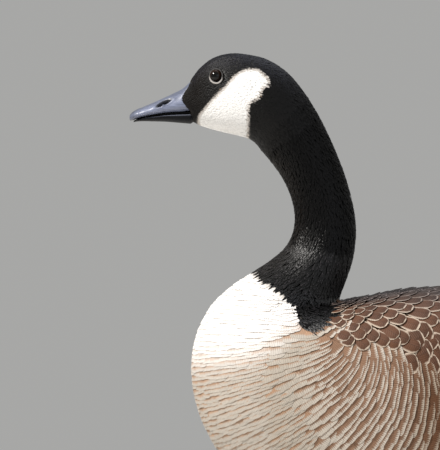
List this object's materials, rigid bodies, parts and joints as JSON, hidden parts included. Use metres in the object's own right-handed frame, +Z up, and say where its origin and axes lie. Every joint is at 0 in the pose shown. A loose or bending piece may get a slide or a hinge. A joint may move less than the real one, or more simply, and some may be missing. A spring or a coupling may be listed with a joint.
{
  "type": "canada goose model",
  "caption": "Life-size still model of a goose with a long black neck and white cheek, standing on webbed feet with the wings folded.",
  "frame": {"origin": "on the floor, midway between the bill's tip and the tail's tip and midway between the sides", "axes": "+Z up; the bird faces -X; +Y is its right side, so the picture looks along +Y"},
  "size_m": [0.6492, 0.2324, 0.555],
  "materials": {
    "plumage_black": "soft black feathers",
    "plumage_breast": "pale barred feathers",
    "plumage_brown": "barred brown feathers",
    "plumage_vent": "soft white feathers",
    "plumage_wing": "overlapping brown feathers with pale edges",
    "plumage_thigh": "short pale brown feathers",
    "bill_horn": "satin black horn",
    "eye_gloss": "wet dark brown",
    "foot_skin": "matte scaly black skin"
  },
  "bodies": {
    "root": {"head": "plumage_black", "neck_upper": "plumage_black", "neck_middle": "plumage_black", "neck_lower": "plumage_black", "breast": "plumage_breast", "torso": "plumage_brown", "rump": "plumage_vent", "wing_left": "plumage_wing", "wing_right": "plumage_wing", "tail": "plumage_black", "thigh_left": "plumage_thigh", "thigh_right": "plumage_thigh", "shank_left": "foot_skin", "shank_right": "foot_skin", "foot_left": "foot_skin", "foot_right": "foot_skin", "bill_upper": "bill_horn", "bill_lower": "bill_horn", "eye_left": "eye_gloss", "eye_right": "eye_gloss"}
  },
  "joints": []
}
